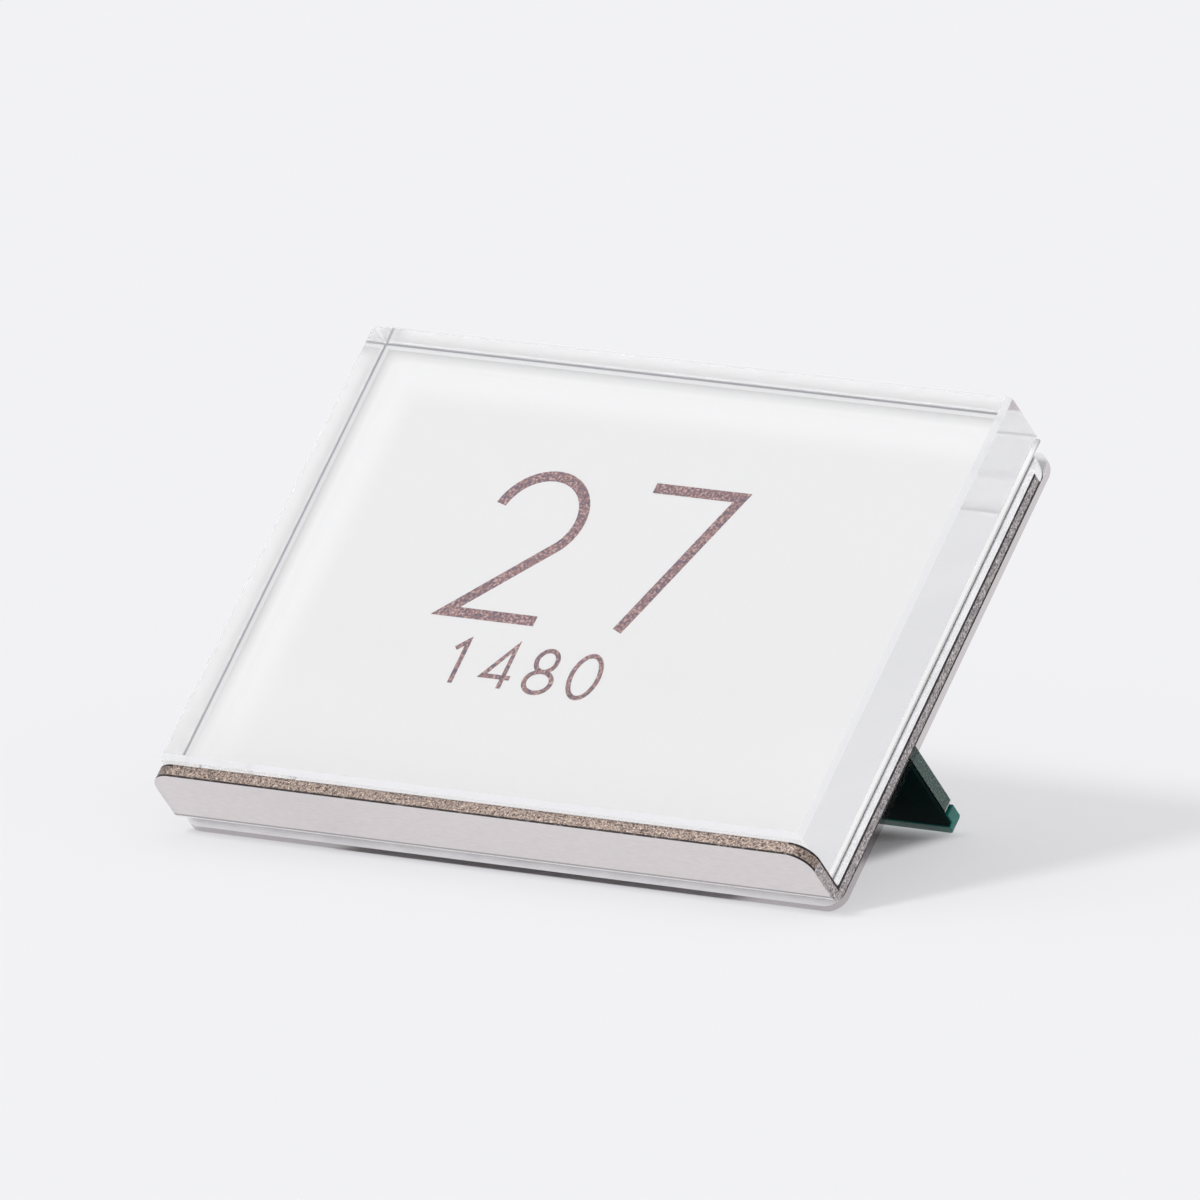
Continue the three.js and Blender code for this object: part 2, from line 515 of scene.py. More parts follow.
@dataclass(frozen=True)
class Paper:
    """The card's stock: white, faint fibre, lighter towards its bottom, painted shade and light at
    the upper and left rim.
    """

    frame: LeaningFrame
    left: float
    top: float
    name: str = "card_stock_painted_rim"
    rim_width: float = 5.0
    rim_blend: float = 1.2
    low_height: float = 14.0

    def build(self) -> bpy.types.Material:
        """Makes the material."""
        graph = NodeGraph(self.name)
        graph.set(Roughness=0.75, Specular_IOR_Level=0.25)
        fibre = graph.noise(graph.coordinates(EVEN), 2500.0, 4.0, 0.6)
        where = graph.node("ShaderNodeTexCoord")
        sine, cosine = self.frame.slopes()
        start = -self.frame.origin_y * sine - self.frame.origin_z * cosine
        up = graph.along(where.outputs["Object"], (0.0, sine, cosine), start)
        from_top = graph.calculate("SUBTRACT", self.top, up)
        from_left = graph.along(where.outputs["Object"], (1.0, 0.0, 0.0), -self.left)
        nearest = graph.calculate("SMOOTH_MIN", from_top, from_left, self.rim_blend)
        rim = graph.calculate("DIVIDE", nearest, self.rim_width)
        # Painted shade and light along the upper and left rim: grey right at the edge, then a
        # whiter band, then the plain stock.
        painted_rim_tones = [(0.0, 0.46), (0.06, 0.56), (0.13, 0.70), (0.24, 0.85), (0.55, 0.86), (0.90, 0.79)]
        painted_rim_light_and_shade = graph.ramp(rim, [(place, (tone,) * 3) for place, tone in painted_rim_tones])
        # Lighter towards the card's bottom.
        height = graph.calculate("DIVIDE", up, self.low_height)
        low = graph.ramp(height, [(0.0, (1.0,) * 3), (0.9, (0.0,) * 3)])
        lift = graph.mix(low, painted_rim_light_and_shade, (0.88, 0.88, 0.88), 0.85)
        stock = graph.mix(fibre, lift, (0.80, 0.80, 0.80), 0.25)
        graph.link(stock, graph.shader.inputs["Base Color"])
        graph.bump(fibre, 0.12, FINE_RELIEF_M)
        return graph.material


@dataclass(frozen=True)
class Ink:
    """Printed line work: brown and violet dots, close together."""

    name: str = "print_ink"

    def build(self) -> bpy.types.Material:
        """Makes the material."""
        graph = NodeGraph(self.name)
        graph.set(Roughness=0.6, Specular_IOR_Level=0.2)
        dots = graph.noise(graph.coordinates(EVEN), 5200.0, 1.0, 0.5)
        stops = [
            (0.34, (0.07, 0.05, 0.10)),
            (0.46, (0.19, 0.10, 0.11)),
            (0.56, (0.27, 0.14, 0.13)),
            (0.68, (0.52, 0.36, 0.33)),
        ]
        graph.paint(dots, stops)
        return graph.material


@dataclass(frozen=True)
class DarkPad:
    """The almost black bottle green of the layer under the leg."""

    name: str = "dark_green_pad"

    def build(self) -> bpy.types.Material:
        """Makes the material."""
        graph = NodeGraph(self.name)
        graph.set(Roughness=0.5, Specular_IOR_Level=0.015)
        cloud = graph.noise(graph.coordinates(EVEN), 600.0, 3.0, 0.5)
        stops = [(0.3, (0.0002, 0.0075, 0.0070)), (0.7, (0.0008, 0.0125, 0.0115))]
        graph.paint(cloud, stops)
        return graph.material


@dataclass(frozen=True)
class GreenStrip:
    """The deep green strip, glossy and only a little clear."""

    name: str = "green_strip"

    def build(self) -> bpy.types.Material:
        """Makes the material."""
        graph = NodeGraph(self.name)
        graph.set(Roughness=0.08, IOR=1.5, Specular_IOR_Level=0.3, Transmission_Weight=0.2)
        cloud = graph.noise(graph.coordinates(EVEN), 500.0, 3.0, 0.5)
        stops = [(0.3, (0.012, 0.200, 0.168)), (0.7, (0.020, 0.270, 0.228))]
        graph.paint(cloud, stops)
        return graph.material


# --------------------------------------------------------------------------- shapes


def mesh_object(name: str, vertices: np.ndarray, faces: Faces) -> bpy.types.Object:
    """Puts vertices and faces into a new object in the scene.

    Args:
        name: the object's name.
        vertices: array (n, 3) in metres.
        faces: tuples of vertex numbers.

    Returns:
        The object, at the origin.
    """
    mesh = bpy.data.meshes.new(name)
    mesh.from_pydata(vertices.tolist(), [], faces)
    mesh.update()
    made = bpy.data.objects.new(name, mesh)
    bpy.context.scene.collection.objects.link(made)
    return made


def grid_faces(rings: int, points: int) -> Faces:
    """Quads between consecutive closed rings of points.

    Args:
        rings: number of rings.
        points: points in each ring.

    Returns:
        The quads, ring by ring. Point j of ring i has the number i * points + j, and joins its
        neighbour and the same two points of the next ring.
    """
    i, j = np.meshgrid(np.arange(rings - 1), np.arange(points), indexing="ij")
    k = (j + 1) % points
    here, there = i * points, (i + 1) * points
    quads = np.stack([here + j, here + k, there + k, there + j], -1)
    return [tuple(q) for q in quads.reshape(-1, 4).tolist()]


def rounded_outline(half_a: np.ndarray, half_b: np.ndarray, radius: np.ndarray) -> np.ndarray:
    """Rounded rectangles, one for each radius and inset, with the same number of points.

    Each corner is a quarter circle: centre + radius (cos t, sin t), with t over a quarter turn.

    Args:
        half_a: half length along the first axis, array over the rings.
        half_b: half length along the second axis, array over the rings.
        radius: corner radius of each ring.

    Returns:
        Array (rings, 4 * EDGE_STEPS, 2).
    """
    turn = np.linspace(0, math.pi / 2, EDGE_STEPS) + np.arange(4)[:, None] * math.pi / 2
    sign_a = np.array([1, -1, -1, 1.0])[:, None]
    sign_b = np.array([1, 1, -1, -1.0])[:, None]
    r = radius[:, None, None]
    a = sign_a * (half_a[:, None, None] - r) + r * np.cos(turn)
    b = sign_b * (half_b[:, None, None] - r) + r * np.sin(turn)
    return np.stack([a, b], -1).reshape(len(radius), -1, 2)


def slab(size: Triple, corner: float, bevel: float) -> np.ndarray:
    """Rings of a slab whose front and rear edges are cut by a flat bevel.

    The ring at angle t of the edge is inset by bevel (1 - sin t) and lies bevel (1 - cos t) deep.

    Args:
        size: width, thickness and height in millimetres.
        corner: size of the outline's corners.
        bevel: size of the front and rear edges.

    Returns:
        Array (rings, points, 3) of x, m, u, centred, from the front to the rear.
    """
    width, thick, high = size
    turn = np.linspace(0, math.pi / 2, EDGE_STEPS)
    inset = bevel * (1 - np.sin(turn))
    depth = bevel * (1 - np.cos(turn))
    inset = np.concatenate([inset, inset[::-1]])
    depth = np.concatenate([-thick / 2 + depth, thick / 2 - depth[::-1]])
    radius = np.maximum(corner - inset, SMALLEST_CORNER)
    flat = rounded_outline(width / 2 - inset, high / 2 - inset, radius)
    m = np.broadcast_to(depth[:, None], flat.shape[:2])
    return np.stack([flat[..., 0], m, flat[..., 1]], -1)


def capped(rings: np.ndarray) -> tuple[np.ndarray, Faces]:
    """Closes a stack of rings with one face at each end.

    Args:
        rings: array (rings, points, 3).

    Returns:
        Vertices and faces.
    """
    count, points = rings.shape[:2]
    faces = grid_faces(count, points)
    faces.append(tuple(range(points))[::-1])
    faces.append(tuple(range((count - 1) * points, count * points)))
    return rings.reshape(-1, 3), faces


def outward(piece: bpy.types.Object) -> None:
    """Turns every face of a closed mesh to point outward."""
    work = bmesh.new()
    work.from_mesh(piece.data)
    bmesh.ops.recalc_face_normals(work, faces=work.faces)
    work.to_mesh(piece.data)
    work.free()


def shade(piece: bpy.types.Object, angle_deg: float = 30.0) -> None:
    """Smooth shading, with edges sharper than the angle kept sharp.

    Args:
        piece: the object.
        angle_deg: the sharpest edge that is still shaded smooth.
    """
    mesh = piece.data
    mesh.polygons.foreach_set("use_smooth", np.ones(len(mesh.polygons), dtype=bool))
    mesh.set_sharp_from_angle(angle=math.radians(angle_deg))


def ease(piece: bpy.types.Object, width_mm: float, angle_deg: float) -> None:
    """Puts a live Bevel on the sharp edges and shades the piece smooth.

    Args:
        piece: the object.
        width_mm: width of an eased edge.
        angle_deg: edges sharper than this are eased.
    """
    bevel = piece.modifiers.new("eased_edges", "BEVEL")
    bevel.width = width_mm * MM
    bevel.segments = 3
    bevel.limit_method = "ANGLE"
    bevel.angle_limit = math.radians(angle_deg)
    bevel.harden_normals = True
    shade(piece, angle_deg)


def eased_copy(node: bpy.types.Object, name: str, ease_mm: float) -> bpy.types.Object:
    """A merged copy of a frame solid whose sharp edges are eased.

    Args:
        node: the frame's object.
        name: the copy's name.
        ease_mm: width of the eased edge.

    Returns:
        The new object, with a live Bevel on its sharp edges.
    """
    mesh = node.data.copy()
    mesh.name = name
    work = bmesh.new()
    work.from_mesh(mesh)
    bmesh.ops.remove_doubles(work, verts=work.verts, dist=MERGE_M)
    flat = math.radians(FLAT_DEG)
    bmesh.ops.dissolve_limit(work, angle_limit=flat, verts=work.verts, edges=work.edges)
    work.to_mesh(mesh)
    work.free()
    mesh.materials.clear()
    made = bpy.data.objects.new(name, mesh)
    bpy.context.scene.collection.objects.link(made)
    ease(made, ease_mm, SHARP_DEG)
    return made


def hand_over(piece: bpy.types.Object, body: Body, slot: str, *nodes: str) -> None:
    """Attaches a finished piece to the body that it rides on and hides the nodes that it stands
    for.

    Args:
        piece: the object.
        body: the body that it moves with.
        slot: not used.
        *nodes: frame nodes that it replaces.
    """
    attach(piece, body.value)
    if nodes:
        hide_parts(*nodes)
    LOG.info("made %s, %d faces, riding on %s", piece.name, len(piece.data.polygons), body.value)


# --------------------------------------------------------------------------- sub-assemblies


class BlockFinish(IntEnum):
    """The order of the clear block's finishes."""

    FACE = 0
    RIGHT = 1
    TOP = 2
    PAINTED_SHADE_BEVEL = 3
    BEVEL = 4
    PAINTED_LIGHT_LINE = 5
    LEFT = 6
    PAINTED_SHADE_BEVEL_RIGHT = 7


class BlockBand(IntEnum):
    """The rings of faces around the block, from the front to the rear."""

    FRONT_BEVEL = 0
    SIDES = 1
    PAINTED_SHADE_BEVEL = 2
    PAINTED_LIGHT_LINE = 3


@dataclass
class ClearBlock:
    """The acrylic block: a thick clear slab with finely bevelled edges."""

    frame: LeaningFrame
    width: float = 52.0
    height: float = 37.0
    thickness: float = 5.0
    edge: float = 0.35
    corner: float = 0.12
    line_share: float = 0.35
    centre_m: float = -2.9
    centre_u: float = 18.6
    square: float = 0.9
    slanted: float = 0.5

    def build(self) -> bpy.types.Object:
        """Makes the block.

        Returns:
            The block's object.
        """
        rings = slab((self.width, self.thickness, self.height), self.corner, self.edge)
        between = rings[2] * (1 - self.line_share) + rings[3] * self.line_share
        rings = np.concatenate([rings[:3], between[None], rings[3:]])
        rings = rings + np.array([0.0, self.centre_m, self.centre_u])
        vertices, faces = capped(rings)
        piece = mesh_object("clear_block", self.frame.place(vertices), faces)
        outward(piece)
        # All but the first finish are partly dull, and their dull share is tinted as painted light
        # and shade: the top, the left side and the inner rear line lighter, the right side and the
        # outer rear bevel darker; the front bevel is mostly dull and pale.
        for finish in (
            ClearPlastic("clear_acrylic", (0.955, 0.955, 0.962)),
            ClearPlastic(
                "clear_acrylic_side_painted_shade", (0.88, 0.88, 0.905), roughness=0.05, bands=0.02, clear=0.5
            ),
            ClearPlastic("clear_acrylic_top_painted_light", (1.0, 1.0, 1.0), clear=0.8),
            ClearPlastic("clear_acrylic_painted_shade_bevel", (0.36, 0.36, 0.38), roughness=0.1, clear=0.3),
            ClearPlastic("clear_acrylic_bevel", (0.87, 0.87, 0.895), roughness=0.1, clear=0.25),
            ClearPlastic("clear_acrylic_painted_light_line", (0.93, 0.93, 0.945), roughness=0.05, clear=0.4),
            ClearPlastic("clear_acrylic_left_painted_light", (1.0, 1.0, 1.0), roughness=0.03, clear=0.75),
            ClearPlastic(
                "clear_acrylic_painted_shade_bevel_right", (0.66, 0.66, 0.68), roughness=0.1, clear=0.3
            ),
        ):
            piece.data.materials.append(finish.build())
        finishes = self.finishes(piece.data, rings.shape[1])
        piece.data.polygons.foreach_set("material_index", finishes)
        hand_over(piece, Body.BLOCK, "clear_acrylic", "acrylic_block")
        return piece

    def finishes(self, mesh: bpy.types.Mesh, points: int) -> np.ndarray:
        """Numbers of the finishes of the block's faces.

        The faces run ring by ring: front bevel, narrow sides, the outer part of the rear bevel
        and the line at its inner part. The two large faces come last. A narrow side looks left or
        right if its normal points along x, beyond square, and the rear bevel looks right if its
        normal slants that way, beyond slanted. The outer part of the rear bevel is a grey line of
        painted shade, paler where it looks right, and the inner part a white line of painted
        light.

        Args:
            mesh: the block's mesh.
            points: points of one ring.

        Returns:
            Array of numbers, one for each face.
        """
        normals = np.zeros(len(mesh.polygons) * 3)
        mesh.polygons.foreach_get("normal", normals)
        x = normals[::3]
        band = np.arange(len(mesh.polygons)) // points
        sides, painted_shade_ring = band == BlockBand.SIDES, band == BlockBand.PAINTED_SHADE_BEVEL
        finish = np.zeros(len(mesh.polygons), dtype=np.int32)
        finish[band == BlockBand.FRONT_BEVEL] = BlockFinish.BEVEL
        finish[sides] = BlockFinish.TOP
        finish[sides & (x > self.square)] = BlockFinish.RIGHT
        finish[sides & (x < -self.square)] = BlockFinish.LEFT
        finish[painted_shade_ring] = BlockFinish.PAINTED_SHADE_BEVEL
        finish[painted_shade_ring & (x > self.slanted)] = BlockFinish.PAINTED_SHADE_BEVEL_RIGHT
        finish[band == BlockBand.PAINTED_LIGHT_LINE] = BlockFinish.PAINTED_LIGHT_LINE
        finish[-2:] = BlockFinish.FACE
        return finish


class Digits:
    """Plain numerals as strokes in a box 0.62 wide and 1 high."""

    @staticmethod
    def arc(cx: float, cy: float, rx: float, ry: float, start: float, stop: float) -> np.ndarray:
        """Points of an ellipse: centre + (rx cos t, ry sin t), t from start to stop in degrees."""
        t = np.radians(np.linspace(start, stop, max(3, int(abs(stop - start) / DEG_PER_POINT))))
        return np.stack([cx + rx * np.cos(t), cy + ry * np.sin(t)], -1)

    @classmethod
    def strokes(cls, digit: str) -> list[np.ndarray]:
        """The strokes of one numeral.

        Args:
            digit: one character of 0, 1, 2, 4, 7 or 8.

        Returns:
            Polylines in the unit box.
        """
        if digit == "0":
            return [cls.arc(0.31, 0.5, 0.31, 0.5, 0, 360)]
        if digit == "1":
            return [np.array([[0.12, 0.80], [0.34, 1.0], [0.34, 0.0]])]
        if digit == "2":
            bow = cls.arc(0.31, 0.71, 0.29, 0.29, 168, -38)
            return [np.concatenate([bow, [[0.0, 0.0], [0.62, 0.0]]])]
        if digit == "4":
            return [np.array([[0.48, 0.0], [0.48, 1.0], [0.0, 0.26], [0.64, 0.26]])]
        if digit == "7":
            return [np.array([[0.0, 1.0], [0.60, 1.0], [0.20, 0.0]])]
        upper = cls.arc(0.31, 0.75, 0.23, 0.25, -90, 270)
        lower = cls.arc(0.31, 0.25, 0.30, 0.25, 90, 450)
        return [upper, lower]


class PrintLine(NamedTuple):
    """One line of numerals, placed and sized in millimetres."""

    numerals: str
    left: float
    base: float
    high: float
    line: float


@dataclass
class PrintedCard:
    """The card behind the block, with plain numerals printed on its front."""

    frame: LeaningFrame
    width: float = 52.0
    height: float = 37.0
    thickness: float = 0.2
    front_m: float = -0.3
    bottom_u: float = 0.1
    corner: float = 0.05
    edge: float = 0.02
    ink_mm: float = 0.02
    ink_step: float = 0.15
    advance: float = 0.98
    bend_limit: float = 0.35
    large: PrintLine = PrintLine("27", -11.4, 16.3, 11.8, 0.82)
    small: PrintLine = PrintLine("1480", -9.6, 10.6, 3.5, 0.36)

    def stroke(self, points: np.ndarray, line: float, ink: float) -> tuple[np.ndarray, Faces]:
        """A flat band of ink along a polyline.

        The band's sides are offset along the mean of the two neighbouring normals, made longer
        at a bend by 1 / (mean . after), and at most by 1 / bend_limit.

        Args:
            points: array (n, 2) of x and u in millimetres.
            line: the band's width.
            ink: its thickness.

        Returns:
            Vertices (x, m, u) in millimetres and faces.
        """
        step = np.diff(points, axis=0)
        step /= np.linalg.norm(step, axis=1, keepdims=True)
        before = np.concatenate([step[:1], step])
        after = np.concatenate([step, step[-1:]])
        mean = before + after
        mean /= np.linalg.norm(mean, axis=1, keepdims=True)
        side = np.stack([-mean[:, 1], mean[:, 0]], -1)
        stretch = 1 / np.clip((mean * after).sum(1, keepdims=True), self.bend_limit, 1)
        reach = side * stretch * line / 2
        low, high = points - reach, points + reach
        back = np.full((len(points), 1), self.front_m)
        face = back - ink
        ring = np.stack(
            [
                np.concatenate([low[:, :1], back, low[:, 1:]], 1),
                np.concatenate([low[:, :1], face, low[:, 1:]], 1),
                np.concatenate([high[:, :1], face, high[:, 1:]], 1),
                np.concatenate([high[:, :1], back, high[:, 1:]], 1),
            ],
            axis=1,
        )
        return capped(ring)

    def line_of_print(self, text: PrintLine) -> tuple[list[np.ndarray], Faces]:
        """The bands of one line of numerals; a numeral's second stroke is a little thicker.

        Args:
            text: the line of numerals.

        Returns:
            Lists of vertex arrays and of faces.
        """
        numerals, left, base, high, line = text
        vertices: list[np.ndarray] = []
        faces: Faces = []
        count = 0
        for place, digit in enumerate(numerals):
            for number, stroke in enumerate(Digits.strokes(digit)):
                points = stroke * high + np.array([left + place * high * self.advance, base])
                ink = self.ink_mm * (1 + self.ink_step * number)
                made, quads = self.stroke(points, line, ink)
                faces += [tuple(v + count for v in q) for q in quads]
                count += len(made)
                vertices.append(made)
        return vertices, faces

    def build(self) -> bpy.types.Object:
        """Makes the card and its print.

        Returns:
            The card's object.
        """
        rings = slab((self.width, self.thickness, self.height), self.corner, self.edge)
        centre = [0.0, self.front_m + self.thickness / 2, self.bottom_u + self.height / 2]
        vertices, faces = capped(rings + np.array(centre))
        card = mesh_object("card", self.frame.place(vertices), faces)
        outward(card)
        shade(card)
        paper = Paper(self.frame, -self.width / 2, self.bottom_u + self.height)
        card.data.materials.append(paper.build())
        hand_over(card, Body.CARD, "card", "price_card")
        ink = Ink().build()
        for name, text in (("large_numerals", self.large), ("small_numerals", self.small)):
            parts, quads = self.line_of_print(text)
            print_piece = mesh_object(name, self.frame.place(np.concatenate(parts)), quads)
            outward(print_piece)
            print_piece.data.materials.append(ink)
            hand_over(print_piece, Body.CARD, "card")
        return card


class SheetFinish(IntEnum):
    """The order of the bent sheet's finishes."""

    FACE = 0
    PAINTED_SHEEN = 1
    CUT_EDGE = 2
    LIP_EDGE = 3
    LEG_EDGE_PAINTED_SHADE = 4
    PAINTED_CREASE_SHADE = 5
    PAINTED_DARK_LINE = 6


@dataclass
class SteelHolder:
    """The bent sheet with lip, plate and leg, and what is stuck onto it."""

    frame: LeaningFrame
    nodes: dict
    edge: float = 0.03
    thickness: float = 1.0
    front_line: float = 0.09
    margin_from: float = 25.9
    side_line: float = 0.22
    back_line: float = 0.12
    rim_line: float = 0.16
    half_width: float = 26.6
    corners_from: float = 34.5
    lip_from: float = 2.9
    leg_from: float = 10.0

    def local_normals(self, mesh: bpy.types.Mesh) -> np.ndarray:
        """Face normals in the drawing frame, as x, m, u."""
        normals = np.zeros(len(mesh.polygons) * 3)
        mesh.polygons.foreach_get("normal", normals)
        return self.frame.upright(normals.reshape(-1, 3))

    def local_centres(self, mesh: bpy.types.Mesh) -> np.ndarray:
        """Face centres in the drawing frame, in millimetres, as x, m, u."""
        centres = np.zeros(len(mesh.polygons) * 3)
        mesh.polygons.foreach_get("center", centres)
        origin = np.array([0.0, self.frame.origin_y, self.frame.origin_z])
        return self.frame.upright(centres.reshape(-1, 3) / MM - origin)

    def build_sheet(self) -> bpy.types.Object:
        """Makes the bent sheet, with a grained finish on every cut edge.

        A face lies on a cut edge if it looks sideways, up at the top, forward at the lip's end,
        to the rear at the leg's end, or into the window. The top edge, the plate's front margin
        and the bend get a painted highlight instead, the crease at the lip painted shade, narrow
        strips along the edges painted dark lines of reflection and shade, and the leg's cut edges
        a darker green as painted shade and a painted reflection of the pad.

        Returns:
            The sheet's object.
        """
        piece = eased_copy(self.nodes["steel_holder"], "bent_sheet", self.edge)
        self.cut_strips(piece)
        normals, centres = self.local_normals(piece.data), self.local_centres(piece.data)
        x, m, u = normals.T
        cx, cm, cu = centres.T
        sideways = np.abs(x) > 0.98
        lip_end = (cm < -self.lip_from) & (np.abs(u) < 0.1)
        leg_end = (m > 0.5) & (cm > self.leg_from)
        top = (np.abs(m) < 0.1) & (cu > 34.4)
        sill = (u > 0.9) & (cm > -0.05) & (cu < 2.0)
        bend = (m > 0.02) & (u < -0.02) & (cu < 0.3) & (cm < 1.05)
        front = (m < -0.9) & (cu > 0.5) & (np.abs(cm) < 0.1)
        outer_side = sideways & (np.abs(cx) > 26.5)
        rim = self.rim_line
        finish = np.full(len(x), int(SheetFinish.FACE))
        # Painted highlight: lighter, smoother steel on the plate's front margin and the bend.
        finish[(front & (np.abs(cx) > self.margin_from)) | bend] = int(SheetFinish.PAINTED_SHEEN)
        # Painted shade: darker steel on the first facet of the bend, where the lip turns.
        finish[bend & (m < 0.2)] = int(SheetFinish.PAINTED_CREASE_SHADE)
        finish[sideways | leg_end | sill] = int(SheetFinish.CUT_EDGE)
        # Painted highlight on the top edge instead of the grain.
        finish[top] = int(SheetFinish.PAINTED_SHEEN)
        finish[lip_end] = int(SheetFinish.LIP_EDGE)
        # The leg's cut edges: the same grain, darker and greener, as painted shade and a painted
        # reflection of the green pad.
        finish[(sideways & (np.abs(cx) < 18.5) & (cm > 1.2)) | leg_end] = int(SheetFinish.LEG_EDGE_PAINTED_SHADE)
        # Painted dark reflection and shade: narrow dark lines along the plate's side edges, the
        # outer rim of its front margin and the lip's end.
        plate = (cu > 0.5) & (cu < self.corners_from)
        along_edge = (cm < self.side_line) | (cm > self.thickness - self.back_line)
        dark = outer_side & plate & along_edge
        dark |= front & plate & (np.abs(cx) > self.half_width - self.front_line)
        dark |= lip_end & (cu < rim - self.thickness)
        dark |= lip_end & (cu > -rim) & (np.abs(cx) > 24.0)
        finish[dark] = int(SheetFinish.PAINTED_DARK_LINE)
        for made in (
            SteelFace(),
            SteelFace("steel_painted_sheen", (0.97, 0.965, 0.97), 0.26, 0.04),
            SteelCutEdge(tint=(0.94, 0.95, 0.99)),
            SteelCutEdge("steel_lip_edge", (0.665, 0.585, 0.525)),
            SteelCutEdge("steel_leg_edge_painted_shade", (0.19, 0.31, 0.28)),
            SteelFace("steel_painted_crease_shade", (0.44, 0.41, 0.41), 0.36, 0.05),
            PaintedDarkEdge(),
        ):
            piece.data.materials.append(made.build())
        piece.data.polygons.foreach_set("material_index", finish.astype(np.int32))
        hand_over(piece, Body.HOLDER, "steel", "steel_holder")
        return piece

    def cut_strips(self, piece: bpy.types.Object) -> None:
        """Cuts narrow strips along the sheet's edges, flat in their faces, for the painted dark
        lines and the painted highlight of the plate's margin.

        Each cut is a plane: all points whose product with its direction is its distance.

        Args:
            piece: the bent sheet.
        """
        outermost = self.half_width - self.front_line
        cuts = [(0, outermost), (0, -outermost), (0, self.margin_from), (0, -self.margin_from)]
        cuts += [(1, self.side_line), (1, self.thickness - self.back_line)]
        cuts += [(2, self.rim_line - self.thickness), (2, -self.rim_line), (2, self.corners_from)]
        directions = self.frame.place(np.eye(3)) - self.frame.place(np.zeros((3, 3)))
        work = bmesh.new()
        work.from_mesh(piece.data)
        for axis, distance in cuts:
            point = self.frame.place(np.eye(3)[axis] * distance)
            geometry = [*work.verts, *work.edges, *work.faces]
            bmesh.ops.bisect_plane(
                work, geom=geometry, dist=CUT_M, plane_co=point, plane_no=directions[axis]
            )
        work.to_mesh(piece.data)
        work.free()
        shade(piece, SHARP_DEG)

    def build_back_sheet(self) -> bpy.types.Object:
        """Makes the clear sheet behind the plate."""
        piece = eased_copy(self.nodes["rear_guard"], "clear_back_sheet", 0.04)
        # The clear sheet's front face carries the painted highlight film.
        front = self.local_normals(piece.data)[:, 1] < -0.9
        piece.data.materials.append(ThinClearSheet().build())
        piece.data.materials.append(PaintedSheenFilm().build())
        piece.data.polygons.foreach_set("material_index", front.astype(np.int32))
        hand_over(piece, Body.HOLDER, "clear_sheet", "rear_guard")
        return piece

    def build_pad(self) -> bpy.types.Object:
        """Makes the dark layer under the leg."""
        piece = eased_copy(self.nodes["leg_pad"], "leg_underlay", 0.04)
        piece.data.materials.append(DarkPad().build())
        hand_over(piece, Body.HOLDER, "dark_green", "leg_pad")
        return piece

    def build_foot(self) -> bpy.types.Object:
        """Makes the green strip at the leg's end."""
        piece = eased_copy(self.nodes["foot_cap"], "foot_strip", 0.08)
        piece.data.materials.append(GreenStrip().build())
        hand_over(piece, Body.HOLDER, "teal", "foot_cap")
        return piece

    def build(self) -> None:
        """Makes every piece of the holder."""
        self.build_sheet()
        self.build_back_sheet()
        self.build_pad()
        self.build_foot()


# --------------------------------------------------------------------------- studio


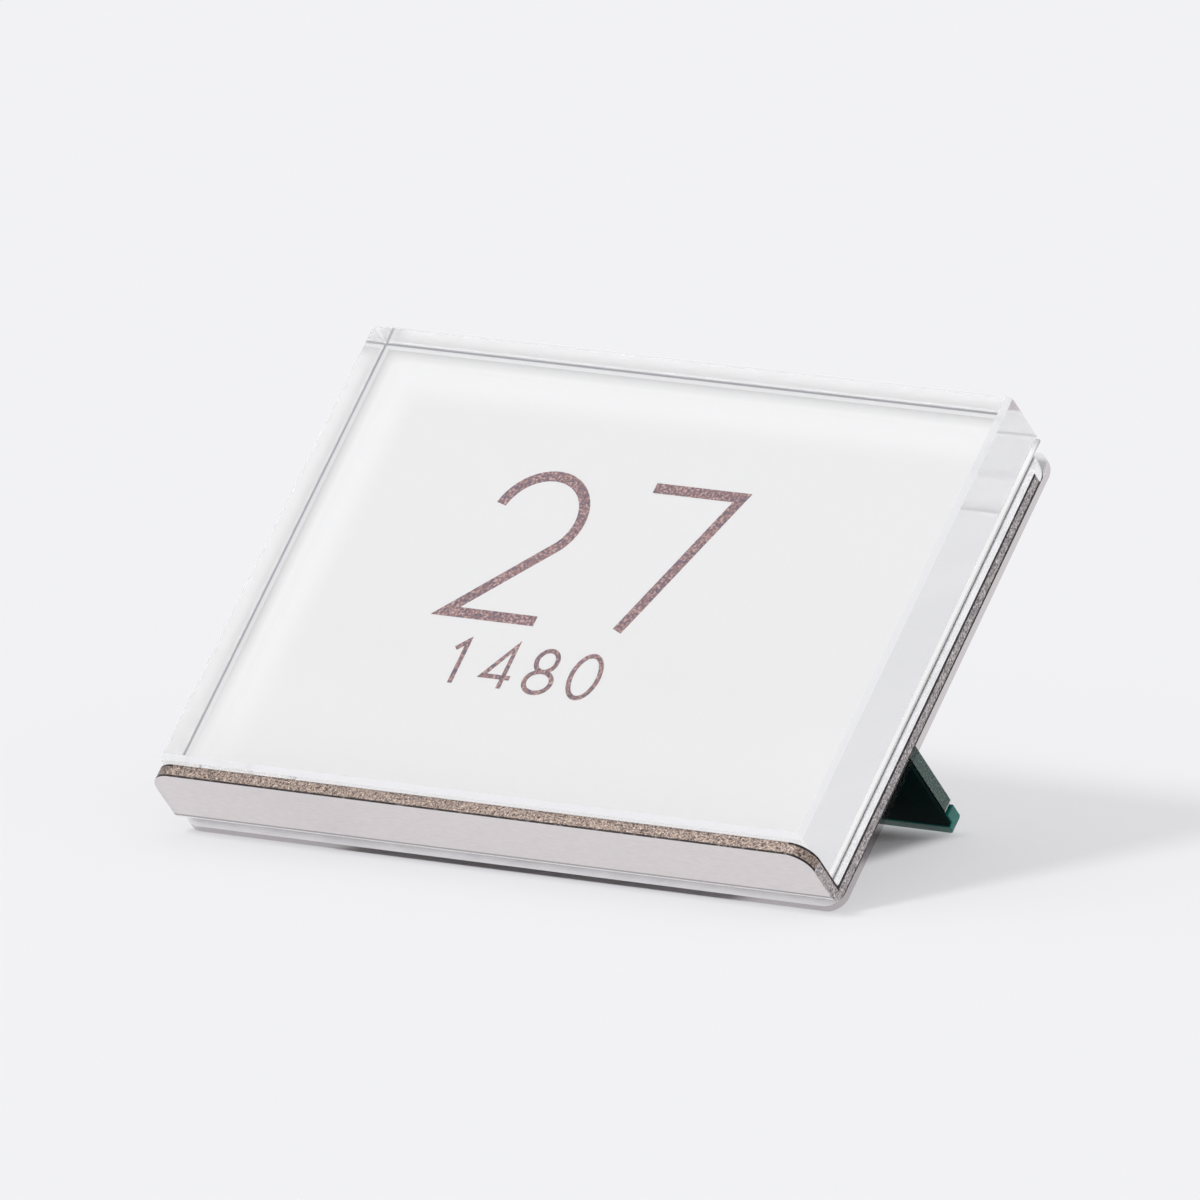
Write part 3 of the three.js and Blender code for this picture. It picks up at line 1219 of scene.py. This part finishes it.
@dataclass
class Studio:
    """Pale floor, even soft light and the camera of the photograph."""

    pale: Triple = (0.890, 0.890, 0.906)
    floor_glow: float = 0.5
    glow_in_metal: float = 0.9
    floor_half_m: float = 6.0
    patch_x: float = 2.2
    patch_sides: Span = (14.6, 17.4)
    patch_back: Span = (12.0, 17.0)
    patch_front: Span = (11.8, 12.1)
    patch_front_in_metal: Span = (10.6, 11.4)
    fill: float = 0.68
    key: float = 1.30
    key_from: Triple = (-0.30, -0.79, 1.0)
    key_size_deg: float = 15.0
    azimuth: float = 33.395
    elevation: float = 10.5198
    distance: float = 1607.92
    focal_px: float = 23707.8
    image_px: int = 1200
    sensor_mm: float = 36.0
    clip_m: Span = (0.05, 40.0)
    target: Triple = (-1.2484, 1.0591, 16.4713)

    def build_floor(self) -> None:
        """Lays the floor.

        It glows with a share of its own pale tone for the camera, gloss and clear pieces, so that
        shadows on it stay soft, but not on a patch under the stand, between the sheet and the leg,
        which stays darker there as painted shade; for what the metal mirrors the glow is stronger
        and the patch begins further back.
        """
        corners = self.floor_half_m * np.array([[-1, -1, 0], [1, -1, 0], [1, 1, 0], [-1, 1, 0]])
        floor = mesh_object("floor", corners, [(0, 1, 2, 3)])
        graph = NodeGraph("pale_floor")
        graph.set(Base_Color=(*self.pale, 1.0), Roughness=0.9, Specular_IOR_Level=0.0)
        glow = graph.node("ShaderNodeEmission")
        glow.inputs["Color"].default_value = (*self.pale, 1.0)
        path = graph.node("ShaderNodeLightPath")
        kinds = [path.outputs[f"Is {kind} Ray"] for kind in SEEN_BY]
        where = graph.node("ShaderNodeTexCoord").outputs["Object"]
        offset = graph.along(where, (1.0, 0.0, 0.0), -self.patch_x)
        across = graph.calculate("ABSOLUTE", offset, 0.0)
        back = graph.along(where, (0.0, 1.0, 0.0), 0.0)
        ahead = graph.calculate("MULTIPLY", back, -1.0)
        beside = [graph.rise(across, *self.patch_sides), graph.rise(back, *self.patch_back)]
        shares = []
        for seen, glow_share, front in (
            (graph.largest(kinds), self.floor_glow, self.patch_front),
            (kinds[1], self.glow_in_metal, self.patch_front_in_metal),
        ):
            outside = graph.largest([*beside, graph.rise(ahead, *front)])
            share = graph.calculate("MULTIPLY", seen, glow_share)
            shares.append(graph.calculate("MULTIPLY", share, outside))
        graph.mix_into_output(graph.largest(shares), glow.outputs[0])
        floor.data.materials.append(graph.material)

    def build_world(self) -> None:
        """Even fill light; the camera, gloss and clear pieces see the pale background."""
        world = bpy.data.worlds.new("studio")
        bpy.context.scene.world = world
        world.use_nodes = True
        tree = world.node_tree
        tree.nodes.clear()
        output = tree.nodes.new("ShaderNodeOutputWorld")
        light = tree.nodes.new("ShaderNodeBackground")
        light.inputs["Color"].default_value = (1.0, 1.0, 1.0, 1.0)
        light.inputs["Strength"].default_value = self.fill
        seen = tree.nodes.new("ShaderNodeBackground")
        seen.inputs["Color"].default_value = (*self.pale, 1.0)
        path = tree.nodes.new("ShaderNodeLightPath")
        mix = tree.nodes.new("ShaderNodeMixShader")
        link = tree.links.new
        share, *others = [path.outputs[f"Is {kind} Ray"] for kind in SEEN_BY]
        for other in others:
            either = tree.nodes.new("ShaderNodeMath")
            either.operation = "MAXIMUM"
            link(share, either.inputs[0])
            link(other, either.inputs[1])
            share = either.outputs[0]
        link(share, mix.inputs[0])
        link(light.outputs[0], mix.inputs[1])
        link(seen.outputs[0], mix.inputs[2])
        link(mix.outputs[0], output.inputs[0])

    def build_key(self) -> None:
        """Hangs the soft key light."""
        data = bpy.data.lights.new("key", "SUN")
        data.energy = self.key
        data.angle = math.radians(self.key_size_deg)
        lamp = bpy.data.objects.new("key", data)
        lamp.rotation_euler = Vector(self.key_from).to_track_quat("Z", "Y").to_euler()
        lamp.location = Vector(self.key_from)
        bpy.context.scene.collection.objects.link(lamp)

    def build_camera(self) -> None:
        """Sets up the camera from the fitted angles, distance and focal length."""
        a, e = math.radians(self.azimuth), math.radians(self.elevation)
        away = Vector((math.sin(a) * math.cos(e), -math.cos(a) * math.cos(e), math.sin(e)))
        right = Vector((math.cos(a), math.sin(a), 0.0))
        up = away.cross(right)
        target = Vector(self.target) * MM
        data = bpy.data.cameras.new("camera")
        data.sensor_width = self.sensor_mm
        data.lens = self.focal_px / self.image_px * self.sensor_mm
        data.clip_start, data.clip_end = self.clip_m
        camera = bpy.data.objects.new("camera", data)
        turn = Matrix((right, up, away)).transposed().to_4x4()
        camera.matrix_world = Matrix.Translation(target + away * self.distance * MM) @ turn
        bpy.context.scene.collection.objects.link(camera)
        bpy.context.scene.camera = camera

    def build(self) -> None:
        """Builds the whole studio."""
        self.build_camera()
        self.build_floor()
        self.build_world()
        self.build_key()
        bpy.context.scene.view_settings.view_transform = "Standard"


def main() -> None:
    """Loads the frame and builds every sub-assembly."""
    logging.basicConfig(level=logging.INFO, format="%(name)s: %(message)s")
    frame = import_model()
    lean = LeaningFrame()
    Studio().build()
    SteelHolder(lean, frame["nodes"]).build()
    PrintedCard(lean).build()
    ClearBlock(lean).build()
    bpy.context.view_layer.update()


if __name__ == "__main__":
    main()
